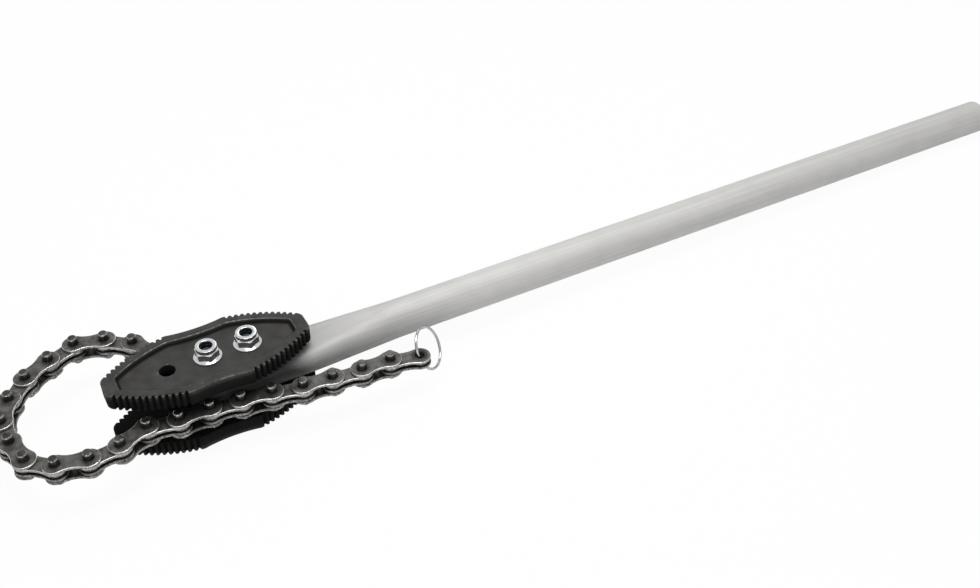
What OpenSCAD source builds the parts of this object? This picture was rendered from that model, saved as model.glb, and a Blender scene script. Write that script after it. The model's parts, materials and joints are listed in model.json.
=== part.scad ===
// Chain pipe wrench: two reversible toothed jaws bolted to a tube handle, and a long-pinned chain.
// Millimetres. The origin is the middle of the free bolt hole, half way between the jaws;
// +X runs along the handle to its grip end and +Z along the bolts, out of the nut side.

/* [Jaws] */
// Length of a jaw over both noses
jaw_len = 171.5; // [160:0.5:180]
// Thickness of a jaw at its rim
jaw_t = 14.5; // [12:0.5:18]
// Clear gap between the two jaws
jaw_gap = 37; // [35:0.5:40]
// Half width of a jaw across its horns
horn_half = 37.4; // [36.5:0.1:39]
// Distance of each horn from the middle of the jaw
horn_x = 24; // [20:0.5:28]
// Half width of the waist between the horns
waist_half = 35; // [33:0.1:36]
// Radius of the toothed edges
tooth_edge_r = 130; // [124:1:140]
// Radius of the nose corners
nose_r = 7; // [5:0.5:12]
// Half width of the flat at the tip of a nose
nose_half = 6; // [2:0.1:8]
// Teeth along each edge
tooth_count = 12; // [9:1:15]
// Depth of the notches between the teeth
tooth_h = 2.6; // [1.5:0.1:3.2]
// Width of a tooth at its crest
crest_w = 1.5; // [0.8:0.1:2]
// Plain land between a horn and the first tooth
horn_land = 3; // [1:0.5:5]
// Width of the rim round the sunk panel
rim_w = 8.5; // [7:0.5:10]
// Width of the rim at the noses
nose_rim = 11.5; // [10:0.5:15]
// Depth of the sunk panel
panel_d = 4; // [2:0.5:5]
// Distance between neighbouring bolt holes
hole_pitch = 34; // [32:0.5:36]
// Diameter of the bolt holes
hole_d = 13; // [12.5:0.1:14]
// Diameter of the hubs round the holes, on the inner faces
hub_d = 20; // [18:0.5:22]

/* [Bolts and nuts] */
// Diameter of the bolts
bolt_d = 12; // [10:0.5:12]
// Width across the flats of bolt heads and nuts
hex_af = 18; // [17:0.5:19]
// Height of the bolt heads
head_h = 7.5; // [6:0.5:9]
// Height of a nut
nut_h = 12.5; // [11:0.5:15]
// Diameter of the nut's flange
nut_flange_d = 23.5; // [21:0.5:26]
// Thickness of the nut's flange at its edge
nut_flange_t = 1.6; // [1:0.1:2.5]
// Outer diameter of the collar on top of the nut
collar_d = 17.4; // [15:0.2:17.8]
// Height of the collar
collar_h = 4; // [3:0.5:5]
// Wall of the collar
collar_wall = 0.9; // [0.6:0.1:1.2]
// Bore of the lock insert
insert_bore = 10.6; // [10:0.1:11.4]

/* [Handle] */
// Outside diameter of the tube
tube_d = 33.7; // [32:0.1:36]
// Wall of the tube
tube_wall = 3.25; // [2.6:0.05:4]
// Length of the handle behind the centre bolt
handle_len = 866; // [700:1:1000]
// Thickness of the squeezed end
flat_t = 22; // [20:0.5:23]
// Width of the squeezed end
flat_w = 47; // [46:0.5:52]
// Where the squeezed end stops, behind the centre bolt
squeeze_from = 84; // [74:1:95]
// Where the tube is fully round, behind the centre bolt
squeeze_to = 165; // [140:1:190]
// How far the squeezed end reaches ahead of the centre bolt
tongue_front = 16; // [13:0.5:18]
// Outside diameter of the spacer sleeves inside the squeezed end
sleeve_d = 19; // [17:0.5:22]

/* [Chain] */
// Pitch of the chain
pitch = 25.4; // [25:0.1:26]
// Radius of the outer plates' ends
outer_r = 9.8; // [9:0.1:10.5]
// Radius of the inner plates' ends
inner_r = 9.3; // [8.8:0.1:10]
// Half width of the plates at their waist
plate_waist = 7.2; // [6:0.1:8]
// Thickness of a plate
plate_t = 2.5; // [2:0.1:3]
// Clear width between the inner plates
inner_w = 3.2; // [1:0.1:5.5]
// Diameter of the pins
pin_d = 8; // [7:0.1:8.5]
// Chamfer on the ends of the pins
pin_chamfer = 0.8; // [0.4:0.1:1.2]
// How far the pins stand out of the outer plates
pin_stand = 6.9; // [5:0.1:9]
// Diameter of the bush barrels
barrel_d = 15.2; // [14:0.1:16]
// Diameter of the bush spigots in the inner plates
spigot_d = 11; // [10.4:0.1:12]

/* [Shackle and ring] */
// Distance from the centre bolt to the shackle pin
shackle_len = 39; // [37:0.5:42]
// Thickness of a shackle cheek
cheek_t = 5.5; // [4:0.1:6]
// Outside diameter of the cheeks' eyes round the hubs
cheek_eye_d = 30; // [28:0.5:32]
// Outside diameter of the cheeks' bosses on the shackle pin
cheek_boss_d = 18; // [15:0.5:19]
// Half width of a cheek between its eyes
cheek_waist = 7.5; // [5:0.5:8]
// Radius of the ring to the middle of its wire
ring_r = 18.5; // [18:0.5:24]
// Diameter of the ring's wire
wire_d = 2.4; // [1.6:0.1:2.8]

/* [Fits] */
// Radial clearance of the pins in the bushes and the cheeks on the hubs
run_c = 0.08; // [0.04:0.01:0.1]
// Radial clearance of pieces pressed together
press_c = 0.02; // [0.01:0.01:0.03]
// Side clearance between neighbouring links
side_c = 0.2; // [0.1:0.05:0.3]

/* [Hidden] */
$fn = 64;
over = 1;
// how far the flare's ends reach into the straight lengths of the tube, and its step down from them
flare_in = 1;
flare_step = 0.4;

// heights above the middle plane
jaw_z = jaw_gap / 2;
rim_z = jaw_z + jaw_t;
panel_z = rim_z - panel_d;
hub_h = jaw_z - flat_t / 2;
inner_z = inner_w / 2;
outer_z = inner_z + plate_t + side_c;
pin_half = outer_z + plate_t + pin_stand;
cheek_z = flat_t / 2 + (hub_h - cheek_t) / 2;

// stations along the handle
centre_x = hole_pitch;
rear_x = 2 * hole_pitch;
tongue_r = flat_w / 2 + 0.5;

// toothed arc: it starts on the horn and runs into the nose's corner without a kink
horn_p = [horn_x, horn_half];
nose_c = [jaw_len / 2 - nose_r, nose_half];
chord = nose_c - horn_p;
chord_way = chord / norm(chord);
arc_foot = (pow(tooth_edge_r, 2) - pow(tooth_edge_r - nose_r, 2) + pow(norm(chord), 2)) / (2 * norm(chord));
arc_c = horn_p + arc_foot * chord_way
        + sqrt(pow(tooth_edge_r, 2) - pow(arc_foot, 2)) * [chord_way.y, -chord_way.x];
// its ends seen from its centre, from +Y
horn_a = atan2(horn_p.x - arc_c.x, horn_p.y - arc_c.y);
first_a = horn_a + horn_land / tooth_edge_r * 180 / PI;
nose_a = atan2(nose_c.x - arc_c.x, nose_c.y - arc_c.y);
tooth_a = (nose_a - first_a) / tooth_count;
notch_a = tooth_a - crest_w / tooth_edge_r * 180 / PI;
waist_sag = horn_half - waist_half;
waist_r = (pow(horn_x, 2) + pow(waist_sag, 2)) / (2 * waist_sag);

// the way the links lie: direction of the shackle and of each link, degrees from +X
shackle_a = 136;
link_a = [103, 119, 143, 165, 202, 211, 228, 245, 273, 284, 320, 346,
          366, 381, 351, 359, 354, 352, 347, 355, 354, 358, 347];
link_count = len(link_a);
// the ring: direction of its plane, lean of that plane, and drop of its centre below the eye
ring_a = 46.5;
ring_lean = 28;
ring_drop = 10.7;

function toward(a, d) = d * [cos(a), sin(a)];
// place of chain pin n; pin 0 is the shackle pin
function pin_at(n) = n == 0 ? [centre_x, 0] + toward(shackle_a, shackle_len)
                            : pin_at(n - 1) + toward(link_a[n - 1], pitch);
function is_inner(n) = n % 2 == 1;
function two_digits(n) = str(n < 10 ? "0" : "", n);
function link_node(n, what) = str("link_", two_digits(n), "_", what);

// jaw outline

function on_arc(a, r) = arc_c + r * [sin(a), cos(a)];
function flip(p, sx, sy) = [for (q = p) [q.x * sx, q.y * sy]];
function turned(p) = [for (i = [len(p) - 1:-1:0]) p[i]];

// half of the waist: a shallow arc that ends on the horn
waist_steps = 6;
function waist_edge() = [for (k = [0:waist_steps - 1])
  let (t = asin(horn_x / waist_r) * (k + 0.5) / waist_steps)
  [waist_r * sin(t), waist_half + waist_r * (1 - cos(t))]];
// notches from the horn's land to the nose, each a V between two crests
function toothed_edge() = concat([on_arc(horn_a, tooth_edge_r)],
  [for (i = [0:tooth_count - 1], s = [0:2])
    on_arc(first_a + i * tooth_a + s * notch_a / 2, tooth_edge_r - (s == 1 ? tooth_h : 0))]);
nose_steps = 6;
function nose_edge() = [for (k = [0:nose_steps])
  nose_c + toward((90 - nose_a) * (1 - k / nose_steps), nose_r)];
function quarter() = concat(waist_edge(), toothed_edge(), nose_edge());
function jaw_outline() = concat(quarter(), turned(flip(quarter(), 1, -1)),
                                flip(quarter(), -1, -1), turned(flip(quarter(), -1, 1)));

// floor of the sunk panel: the outline without its teeth, one rim width further in
module panel_shape() {
  panel_half = jaw_len / 2 - nose_rim;
  difference() {
    for (end = [-1, 1]) intersection() {
      translate([end * arc_c.x, arc_c.y]) circle(r = tooth_edge_r - rim_w, $fn = 180);
      translate([end * arc_c.x, -arc_c.y]) circle(r = tooth_edge_r - rim_w, $fn = 180);
      translate([end > 0 ? -over : -panel_half, -horn_half]) square([panel_half + over, 2 * horn_half]);
    }
    for (s = [-1, 1]) translate([0, s * (waist_half + waist_r)])
      circle(r = waist_r + rim_w, $fn = 180);
  }
}

// one forging, inner face on z = 0 and hubs below it
module jaw() {
  difference() {
    union() {
      linear_extrude(jaw_t) polygon(jaw_outline());
      for (k = [-1:1]) translate([k * hole_pitch, 0, -hub_h])
        cylinder(d = hub_d, h = hub_h + over);
    }
    translate([0, 0, jaw_t - panel_d]) linear_extrude(panel_d + over) panel_shape();
    for (k = [-1:1]) translate([k * hole_pitch, 0, -hub_h - over])
      cylinder(d = hole_d, h = hub_h + jaw_t + 2 * over);
  }
}

module upper_jaw() {
  color("#454443") translate([centre_x, 0, jaw_z]) jaw();
}

module lower_jaw() {
  color("#454443") translate([centre_x, 0, -jaw_z]) mirror([0, 0, 1]) jaw();
}

// handle

// flat oval section in the YZ plane, drawn out along +X
module flat_oval(w, t, h) {
  translate([0, -(w - t) / 2, -t / 2]) cube([h, w - t, t]);
  for (s = [-1, 1]) translate([0, s * (w - t) / 2, 0]) rotate([0, 90, 0]) cylinder(d = t, h = h);
}

// the tube's form, with every face moved in by inset and both ends out by past
module tube_form(inset, past) {
  x0 = centre_x - tongue_front - past;
  x1 = centre_x + squeeze_from;
  x2 = centre_x + squeeze_to;
  x3 = centre_x + handle_len + past;
  translate([x0, 0, 0]) flat_oval(flat_w - 2 * inset, flat_t - 2 * inset, x1 - x0);
  in_flare = 2 * (inset + flare_step);
  hull() {
    translate([x1 - 2 * flare_in, 0, 0])
      flat_oval(flat_w - in_flare, flat_t - in_flare, flare_in, $fn = 48);
    translate([x2 + flare_in, 0, 0]) rotate([0, 90, 0])
      cylinder(d = tube_d - in_flare, h = flare_in, $fn = 48);
  }
  translate([x2, 0, 0]) rotate([0, 90, 0]) cylinder(d = tube_d - 2 * inset, h = x3 - x2);
}

module handle_tube() {
  color("#b9b8b4") difference() {
    tube_form(0, 0);
    tube_form(tube_wall, over);
    for (x = [centre_x, rear_x]) translate([x, 0, -flat_t / 2 - over])
      cylinder(d = hole_d, h = flat_t + 2 * over);
    // the end is rounded about the centre bolt, clear of the shackle's swing
    translate([centre_x, 0, -flat_t / 2 - over]) linear_extrude(flat_t + 2 * over) difference() {
      translate([-2 * tongue_r, -2 * tongue_r]) square([2 * tongue_r, 4 * tongue_r]);
      circle(r = tongue_r);
    }
  }
}

module spacer_sleeves() {
  color("#8d8c88") for (x = [centre_x, rear_x])
    translate([x, 0, -flat_t / 2 + tube_wall]) difference() {
      cylinder(d = sleeve_d, h = flat_t - 2 * tube_wall);
      translate([0, 0, -over]) cylinder(d = hole_d, h = flat_t - 2 * tube_wall + 2 * over);
    }
}

// bolts and nuts

insert_h = collar_h - 2 * collar_wall;
bolt_top = panel_z + nut_h - collar_h;

module hex(af, h) {
  cylinder(d = af / cos(30), h = h, $fn = 6);
}

// hexagon with its corners taken off by a cone at the free end
module chamfered_hex(af, h) {
  intersection() {
    hex(af, h);
    cylinder(r1 = af / 2 + h * 1.8, r2 = af / 2 - 0.4, h = h);
  }
}

module bolt(x) {
  color("#c9cacb") translate([x, 0, 0]) {
    translate([0, 0, -panel_z]) mirror([0, 0, 1]) chamfered_hex(hex_af, head_h);
    translate([0, 0, -panel_z - over]) cylinder(d = bolt_d, h = panel_z + over + bolt_top - 1);
    translate([0, 0, bolt_top - 1]) cylinder(d1 = bolt_d, d2 = bolt_d - 2, h = 1);
  }
}

module centre_bolt() {
  bolt(centre_x);
}

module rear_bolt() {
  bolt(rear_x);
}

// flange lock nut: sloping flange, hexagon, and a thin collar rolled over the insert
module lock_nut(x) {
  hex_h = nut_h - collar_h;
  color("#d9dadb") translate([x, 0, panel_z]) difference() {
    union() {
      cylinder(d = nut_flange_d, h = nut_flange_t);
      translate([0, 0, nut_flange_t])
        cylinder(d1 = nut_flange_d, d2 = hex_af, h = (nut_flange_d - hex_af) / 2 * 0.6);
      hex(hex_af, hex_h);
      translate([0, 0, hex_h]) cylinder(d1 = hex_af, d2 = collar_d, h = collar_wall);
      cylinder(d = collar_d, h = nut_h);
    }
    translate([0, 0, -over]) cylinder(d = bolt_d + 2 * press_c, h = hex_h + 2 * over);
    translate([0, 0, hex_h + collar_wall])
      cylinder(d = collar_d - 2 * collar_wall, h = insert_h);
    translate([0, 0, hex_h]) cylinder(d = insert_bore + 1, h = collar_h + over);
  }
}

module centre_nut() {
  lock_nut(centre_x);
}

module rear_nut() {
  lock_nut(rear_x);
}

module lock_inserts() {
  color("#1d2a33") for (x = [centre_x, rear_x])
    translate([x, 0, panel_z + nut_h - collar_wall - insert_h]) difference() {
      cylinder(d = collar_d - 2 * collar_wall - 2 * press_c, h = insert_h);
      translate([0, 0, -over]) cylinder(d = insert_bore, h = insert_h + 2 * over);
    }
}

// chain

// plate with two round ends and a waist; the waist's arcs run into the ends
module plate_shape(r) {
  waist_arc = 1.15 * (pow(pitch / 2, 2) + pow(plate_waist, 2) - pow(r, 2)) / (2 * (r - plate_waist));
  difference() {
    union() {
      for (x = [0, pitch]) translate([x, 0]) circle(r = r);
      translate([0, -0.92 * r]) square([pitch, 1.84 * r]);
    }
    for (s = [-1, 1]) translate([pitch / 2, s * (plate_waist + waist_arc)])
      circle(r = waist_arc, $fn = 120);
  }
}

module plate_pair(r, z, bore_d) {
  for (s = [0, 1]) mirror([0, 0, s]) translate([0, 0, z]) difference() {
    linear_extrude(plate_t) plate_shape(r);
    for (x = [0, pitch]) translate([x, 0, -over]) cylinder(d = bore_d, h = plate_t + 2 * over);
  }
}

// stepped bush: a barrel between the plates and a spigot through each
module bush() {
  bore_r = pin_d / 2 + run_c;
  top = inner_z + plate_t;
  rotate_extrude() polygon([
    [bore_r, -top], [spigot_d / 2, -top], [spigot_d / 2, -inner_z], [barrel_d / 2, -inner_z],
    [barrel_d / 2, inner_z], [spigot_d / 2, inner_z], [spigot_d / 2, top], [bore_r, top]]);
}

module pin(half, r) {
  rotate_extrude() polygon([
    [0, -half], [r - pin_chamfer, -half], [r, pin_chamfer - half],
    [r, half - pin_chamfer], [r - pin_chamfer, half], [0, half]]);
}

module at_link(n) {
  p = pin_at(n - 1);
  translate([p.x, p.y, 0]) rotate(link_a[n - 1]) children();
}

module link_plates(n) {
  color("#6b6a66") at_link(n)
    if (is_inner(n)) plate_pair(inner_r, inner_z, spigot_d + 2 * press_c);
    else plate_pair(outer_r, outer_z, pin_d + 2 * press_c);
}

module link_bushes(n) {
  color("#77766f") at_link(n) for (x = [0, pitch]) translate([x, 0, 0]) bush();
}

module link_pins(n) {
  color("#5c5b57") at_link(n) for (x = [0, pitch]) translate([x, 0, 0]) pin(pin_half, pin_d / 2);
}

// shackle: a cheek above and one below the tube's end, each with an eye round a hub

module cheek() {
  boss_z = inner_z + plate_t + side_c;
  difference() {
    union() {
      translate([0, 0, cheek_z]) {
        cylinder(d = cheek_eye_d, h = cheek_t);
        translate([0, -cheek_waist, 0]) cube([shackle_len, 2 * cheek_waist, cheek_t]);
      }
      translate([shackle_len, 0, boss_z])
        cylinder(d = cheek_boss_d, h = cheek_z + cheek_t - boss_z);
    }
    translate([0, 0, cheek_z - over]) cylinder(d = hub_d + 2 * run_c, h = cheek_t + 2 * over);
    translate([shackle_len, 0, boss_z - over])
      cylinder(d = pin_d + 2 * press_c, h = cheek_z + cheek_t - boss_z + 2 * over);
  }
}

module shackle_cheeks() {
  color("#5f5e5a") translate([centre_x, 0, 0]) rotate(shackle_a)
    for (s = [0, 1]) mirror([0, 0, s]) cheek();
}

module shackle_pin() {
  p = pin_at(0);
  color("#77766f") translate([p.x, p.y, 0]) pin(cheek_z + cheek_t, pin_d / 2);
}

// wire ring through the free eye of the last link
module end_ring() {
  p = pin_at(link_count);
  color("#d3d4d5") translate([p.x, p.y, 0]) rotate(ring_a) rotate([-ring_lean, 0, 0])
    translate([ring_r * cos(ring_drop), 0, -ring_r * sin(ring_drop)]) rotate([90, 0, 0])
      rotate_extrude() translate([ring_r, 0]) circle(d = wire_d, $fn = 32);
}

handle_tube();
spacer_sleeves();
upper_jaw();
lower_jaw();
centre_bolt();
rear_bolt();
centre_nut();
rear_nut();
lock_inserts();
shackle_cheeks();
shackle_pin();
for (n = [1:link_count]) link_plates(n);
for (n = [1:2:link_count]) link_bushes(n);
for (n = [2:2:link_count]) link_pins(n);
end_ring();
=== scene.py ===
import json
import math

import bmesh
import bpy
import numpy as np
from mathutils import Matrix, Vector


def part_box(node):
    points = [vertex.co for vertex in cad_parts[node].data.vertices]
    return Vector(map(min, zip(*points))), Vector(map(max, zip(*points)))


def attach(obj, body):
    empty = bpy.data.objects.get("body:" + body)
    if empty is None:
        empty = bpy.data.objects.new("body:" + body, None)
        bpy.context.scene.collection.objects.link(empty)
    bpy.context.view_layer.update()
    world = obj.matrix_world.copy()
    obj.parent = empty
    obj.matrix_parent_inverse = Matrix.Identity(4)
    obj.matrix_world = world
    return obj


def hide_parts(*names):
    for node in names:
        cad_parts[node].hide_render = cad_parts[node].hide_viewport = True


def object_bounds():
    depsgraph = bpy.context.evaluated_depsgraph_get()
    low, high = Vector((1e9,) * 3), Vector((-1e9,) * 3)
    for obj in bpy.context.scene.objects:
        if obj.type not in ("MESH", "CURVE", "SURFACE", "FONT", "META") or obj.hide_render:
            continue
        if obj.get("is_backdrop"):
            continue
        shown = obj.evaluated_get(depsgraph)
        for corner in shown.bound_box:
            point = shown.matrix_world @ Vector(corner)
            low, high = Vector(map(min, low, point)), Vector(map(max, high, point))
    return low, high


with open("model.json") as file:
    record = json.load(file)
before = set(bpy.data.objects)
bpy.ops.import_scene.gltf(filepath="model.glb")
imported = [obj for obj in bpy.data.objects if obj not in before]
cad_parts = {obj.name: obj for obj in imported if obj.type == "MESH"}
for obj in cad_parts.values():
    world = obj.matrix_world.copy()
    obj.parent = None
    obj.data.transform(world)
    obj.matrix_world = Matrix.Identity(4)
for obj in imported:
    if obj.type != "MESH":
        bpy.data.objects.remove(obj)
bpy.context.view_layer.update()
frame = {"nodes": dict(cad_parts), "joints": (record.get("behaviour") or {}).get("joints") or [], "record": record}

scene = bpy.context.scene
mm = 0.001  # every size below is in millimetres, and a finished mesh is in metres

# where the joints are
jointPlace = {j["name"]: np.array(j["pos_m"]) / mm for j in frame["joints"]}
linkCount = sum(name.startswith("link_") for name in jointPlace)
pinPlaces = [jointPlace[f"link_{n:02d}_hinge"] for n in range(1, linkCount + 1)] + [jointPlace["ring_swing"]]
centreBoltX = jointPlace["shackle_swing"][0]


def boxOf(node):
    low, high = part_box(node)
    return np.array(low) / mm, np.array(high) / mm


# camera, solved from the pins, the bolt holes and the tube's edges in the picture

camera = {
    "place": (-103.7, -735.8, 690.9),
    "yaw": 28.4926,  # degrees from +Y towards +X
    "pitch": 39.938,  # degrees below the horizon
    "roll": -0.2,
    "focalPixels": 1191.94,
    "imageWidth": 980,
}


def addCamera(c):
    yaw, pitch, roll = (math.radians(c[k]) for k in ("yaw", "pitch", "roll"))
    ahead = Vector((math.sin(yaw) * math.cos(pitch), math.cos(yaw) * math.cos(pitch), -math.sin(pitch)))
    right = Vector((math.cos(yaw), -math.sin(yaw), 0))
    up = right.cross(ahead)
    right, up = math.cos(roll) * right + math.sin(roll) * up, math.cos(roll) * up - math.sin(roll) * right
    data = bpy.data.cameras.new("camera")
    data.sensor_width = 36
    data.lens = data.sensor_width * c["focalPixels"] / c["imageWidth"]
    data.clip_start, data.clip_end = 0.01, 50
    obj = bpy.data.objects.new("camera", data)
    turn = Matrix((right, up, -ahead)).transposed().to_4x4()
    obj.matrix_world = Matrix.Translation(Vector(c["place"]) * mm) @ turn
    scene.collection.objects.link(obj)
    scene.camera = obj


addCamera(camera)


# meshes from grids of points

def gridFaces(columns, rows, wrapRows):
    # quads of a grid that closes round its columns, in which point (c, r) has the number c * rows + r
    c = np.arange(columns)[:, None]
    r = np.arange(rows if wrapRows else rows - 1)[None, :]
    c2, r2 = (c + 1) % columns, (r + 1) % rows
    quads = np.broadcast_arrays(c * rows + r, c2 * rows + r, c2 * rows + r2, c * rows + r2)
    return np.stack(quads, -1).reshape(-1, 4)


def surface(grid, wrapRows=True, keep=None, **marks):
    # one sheet: its points, its quads, and numbers that the materials read at each point
    columns, rows = grid.shape[:2]
    quads = gridFaces(columns, rows, wrapRows)
    if keep is not None:
        quads = quads[keep.ravel()]
    flat = {k: np.broadcast_to(v, (columns, rows)).reshape(-1) for k, v in marks.items()}
    return grid.reshape(-1, 3), quads, flat


def moved(sheet, turn, place, mirrorZ=False):
    # turned about Z, then shifted
    points, quads, marks = sheet
    if mirrorZ:
        points = points * (1, 1, -1)
    c, s = math.cos(turn), math.sin(turn)
    spin = np.array([[c, s, 0], [-s, c, 0], [0, 0, 1]])
    return points @ spin + np.asarray(place), quads, marks


# the wear mark is worn edges and partly a painted highlight; the soot mark is mostly painted shade in hollows and
# between parts, with some darkening round the chain's holes and a duller ring
markNames = ("wear", "soot")


def closeSeams(mesh):
    # merges doubled points, drops edges and points that no face uses and turns every face outwards
    b = bmesh.new()
    b.from_mesh(mesh)
    bmesh.ops.remove_doubles(b, verts=b.verts, dist=2e-6)
    bmesh.ops.dissolve_degenerate(b, edges=b.edges, dist=1e-6)
    bmesh.ops.delete(b, geom=[e for e in b.edges if not e.link_faces], context="EDGES")
    bmesh.ops.delete(b, geom=[v for v in b.verts if not v.link_faces], context="VERTS")
    bmesh.ops.recalc_face_normals(b, faces=b.faces)
    b.to_mesh(mesh)
    b.free()


def makePiece(name, sheets, look, body, nodes, sharp=38):
    # joins the sheets into one mesh and puts the piece on its body
    starts = np.cumsum([0] + [len(s[0]) for s in sheets[:-1]])
    points = np.concatenate([s[0] for s in sheets]) * mm
    quads = np.concatenate([s[1] + start for s, start in zip(sheets, starts)])
    mesh = bpy.data.meshes.new(name)
    mesh.from_pydata(points.tolist(), [], quads.tolist())
    for mark in markNames:
        values = np.concatenate([s[2].get(mark, np.zeros(len(s[0]))) for s in sheets])
        mesh.attributes.new(mark, "FLOAT", "POINT").data.foreach_set("value", values.astype(np.float32))
    closeSeams(mesh)
    mesh.shade_smooth()
    mesh.set_sharp_from_angle(angle=math.radians(sharp))
    mesh.materials.append(look)
    obj = bpy.data.objects.new(name, mesh)
    scene.collection.objects.link(obj)
    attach(obj, body)
    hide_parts(*nodes)
    return obj


def revolve(profile, columns, place, **marks):
    # a profile of (radius, height) carried round the Z axis
    r, z = np.array(profile, float).T
    a = np.linspace(0, 2 * math.pi, columns, endpoint=False)[:, None]
    grid = np.stack([r * np.cos(a), r * np.sin(a), np.broadcast_to(z, (columns, len(z)))], -1)
    return surface(grid + np.asarray(place, float), **marks)


def rounded(corners, radius, steps=4, most=0.45):
    # an open profile whose inner corners are swapped for arcs of that radius, or of less where an arc
    # would take more than its share of the shorter side
    points = [np.array(c, float) for c in corners]
    out = [points[0]]
    for before, here, after in zip(points, points[1:], points[2:]):
        back, on = before - here, after - here
        room = min(np.linalg.norm(back), np.linalg.norm(on)) * most
        back, on = back / np.linalg.norm(back), on / np.linalg.norm(on)
        half = math.acos(np.clip(back @ on, -1, 1)) / 2
        cut = min(radius / math.tan(half), room)
        t = np.linspace(0, 1, steps + 1)[:, None]
        out += list((1 - t) ** 2 * (here + back * cut) + 2 * t * (1 - t) * here + t**2 * (here + on * cut))
    return np.array(out + [points[-1]])


# materials

class Value:
    # a socket that can be added, multiplied and so on: each sign puts in a Math node
    def __init__(self, look, socket):
        self.look, self.socket = look, socket

    def sign(self, operation, *values):
        return self.look.node("Math", {"operation": operation}, dict(enumerate(values)))

    def __add__(self, other):
        return self.sign("ADD", self, other)

    def __radd__(self, other):
        return self.sign("ADD", other, self)

    def __sub__(self, other):
        return self.sign("SUBTRACT", self, other)

    def __rsub__(self, other):
        return self.sign("SUBTRACT", other, self)

    def __mul__(self, other):
        return self.sign("MULTIPLY", self, other)

    def __rmul__(self, other):
        return self.sign("MULTIPLY", other, self)

    def clamped(self):
        return self.look.node("Clamp", {}, {"Value": self}, "Result")


class Look:
    def __init__(self, name, world=None):
        self.material = world or bpy.data.materials.new(name)
        self.material.use_nodes = True
        self.tree = self.material.node_tree
        self.tree.nodes.clear()

    def node(self, kind, settings, sockets, out=0):
        n = self.tree.nodes.new("ShaderNode" + kind)
        for key, value in settings.items():
            setattr(n, key, value)
        for key, value in sockets.items():
            if isinstance(value, Value):
                self.tree.links.new(value.socket, n.inputs[key])
            else:
                n.inputs[key].default_value = value
        return None if out is None else Value(self, n.outputs[out])

    def place(self, stretch):
        spot = self.node("TexCoord", {}, {}, "Object")
        return self.node("Mapping", {}, {"Vector": spot, "Scale": stretch})

    def noise(self, size, detail=3, stretch=(1, 1, 1)):
        # about 0.5 on average; size is that of one patch, in millimetres
        sockets = {"Vector": self.place(stretch), "Scale": 1 / (size * mm), "Detail": detail}
        return self.node("TexNoise", {}, sockets, "Fac")

    def mark(self, name):
        return self.node("Attribute", {"attribute_name": name}, {}, "Fac")

    def mix(self, share, first, second):
        sockets = {"Factor": share}
        for key, colour in ((6, first), (7, second)):
            sockets[key] = colour if isinstance(colour, Value) else (*colour, 1)
        return self.node("Mix", {"data_type": "RGBA"}, sockets, 2)

    def bump(self, height, depth):
        # depth of the relief in millimetres
        return self.node("Bump", {}, {"Height": height, "Distance": depth * mm, "Strength": 1.0})

    def output(self, shader, kind="Material"):
        self.node("Output" + kind, {}, {"Surface": shader}, None)
        return self.material

    def finish(self, sockets):
        return self.output(self.node("BsdfPrincipled", {}, sockets))


# in each finish a Size is that of one patch, and relief is the depth of the grain, in millimetres;
# a Share is how far the colour goes over to the one it names

forgedBlack = {
    "scale": (0.031, 0.0303, 0.0287),
    "thin": (0.062, 0.0608, 0.058),
    "bare": (0.27, 0.265, 0.25),
    "soot": (0.002, 0.002, 0.002),
    "cloudSize": 14, "grainSize": 0.9, "chipSize": 3,
    "bareShare": 0.55, "sootShare": 0.92,
    "roughness": 0.5, "shine": 0.1, "relief": 0.12,
}


def jawLook(c):
    look = Look("forged_black")
    cloud, grain = look.noise(c["cloudSize"]), look.noise(c["grainSize"], 2)
    edge = ((look.mark("wear") + (look.noise(c["chipSize"], 4) - 0.5) * 1.1 - 0.45) * 2.2).clamped()
    # painted shade in the notches, on the side walls, in the bores and between the jaws
    gap = (look.mark("soot") * 1.15 - 0.1).clamped()
    skin = look.mix((cloud * 1.8 - 0.45).clamped(), c["scale"], c["thin"])
    # bare worn edges, partly a painted highlight
    skin = look.mix(edge * c["bareShare"], skin, c["bare"])
    skin = look.mix(gap * c["sootShare"], skin, c["soot"])
    return look.finish({
        "Base Color": skin,
        "Metallic": edge * 0.7,
        "Roughness": c["roughness"] + (grain - 0.5) * 0.25 - edge * 0.14 + gap * 0.3,
        "Specular IOR Level": c["shine"],
        "Normal": look.bump(grain * 0.7 + cloud * 0.3, c["relief"]),
    })


oiledSteel = {
    "plate": (0.15, 0.147, 0.139),
    "dark": (0.052, 0.051, 0.048),
    "bright": (0.72, 0.71, 0.68),
    "brown": (0.085, 0.068, 0.052),
    "soot": (0.006, 0.006, 0.005),
    "cloudSize": 6, "stainSize": 11, "grainSize": 0.5, "chipSize": 2,
    "brownShare": 0.35, "sootShare": 0.92,
    "roughness": 0.42, "shine": 0.2, "relief": 0.04,
}


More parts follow.
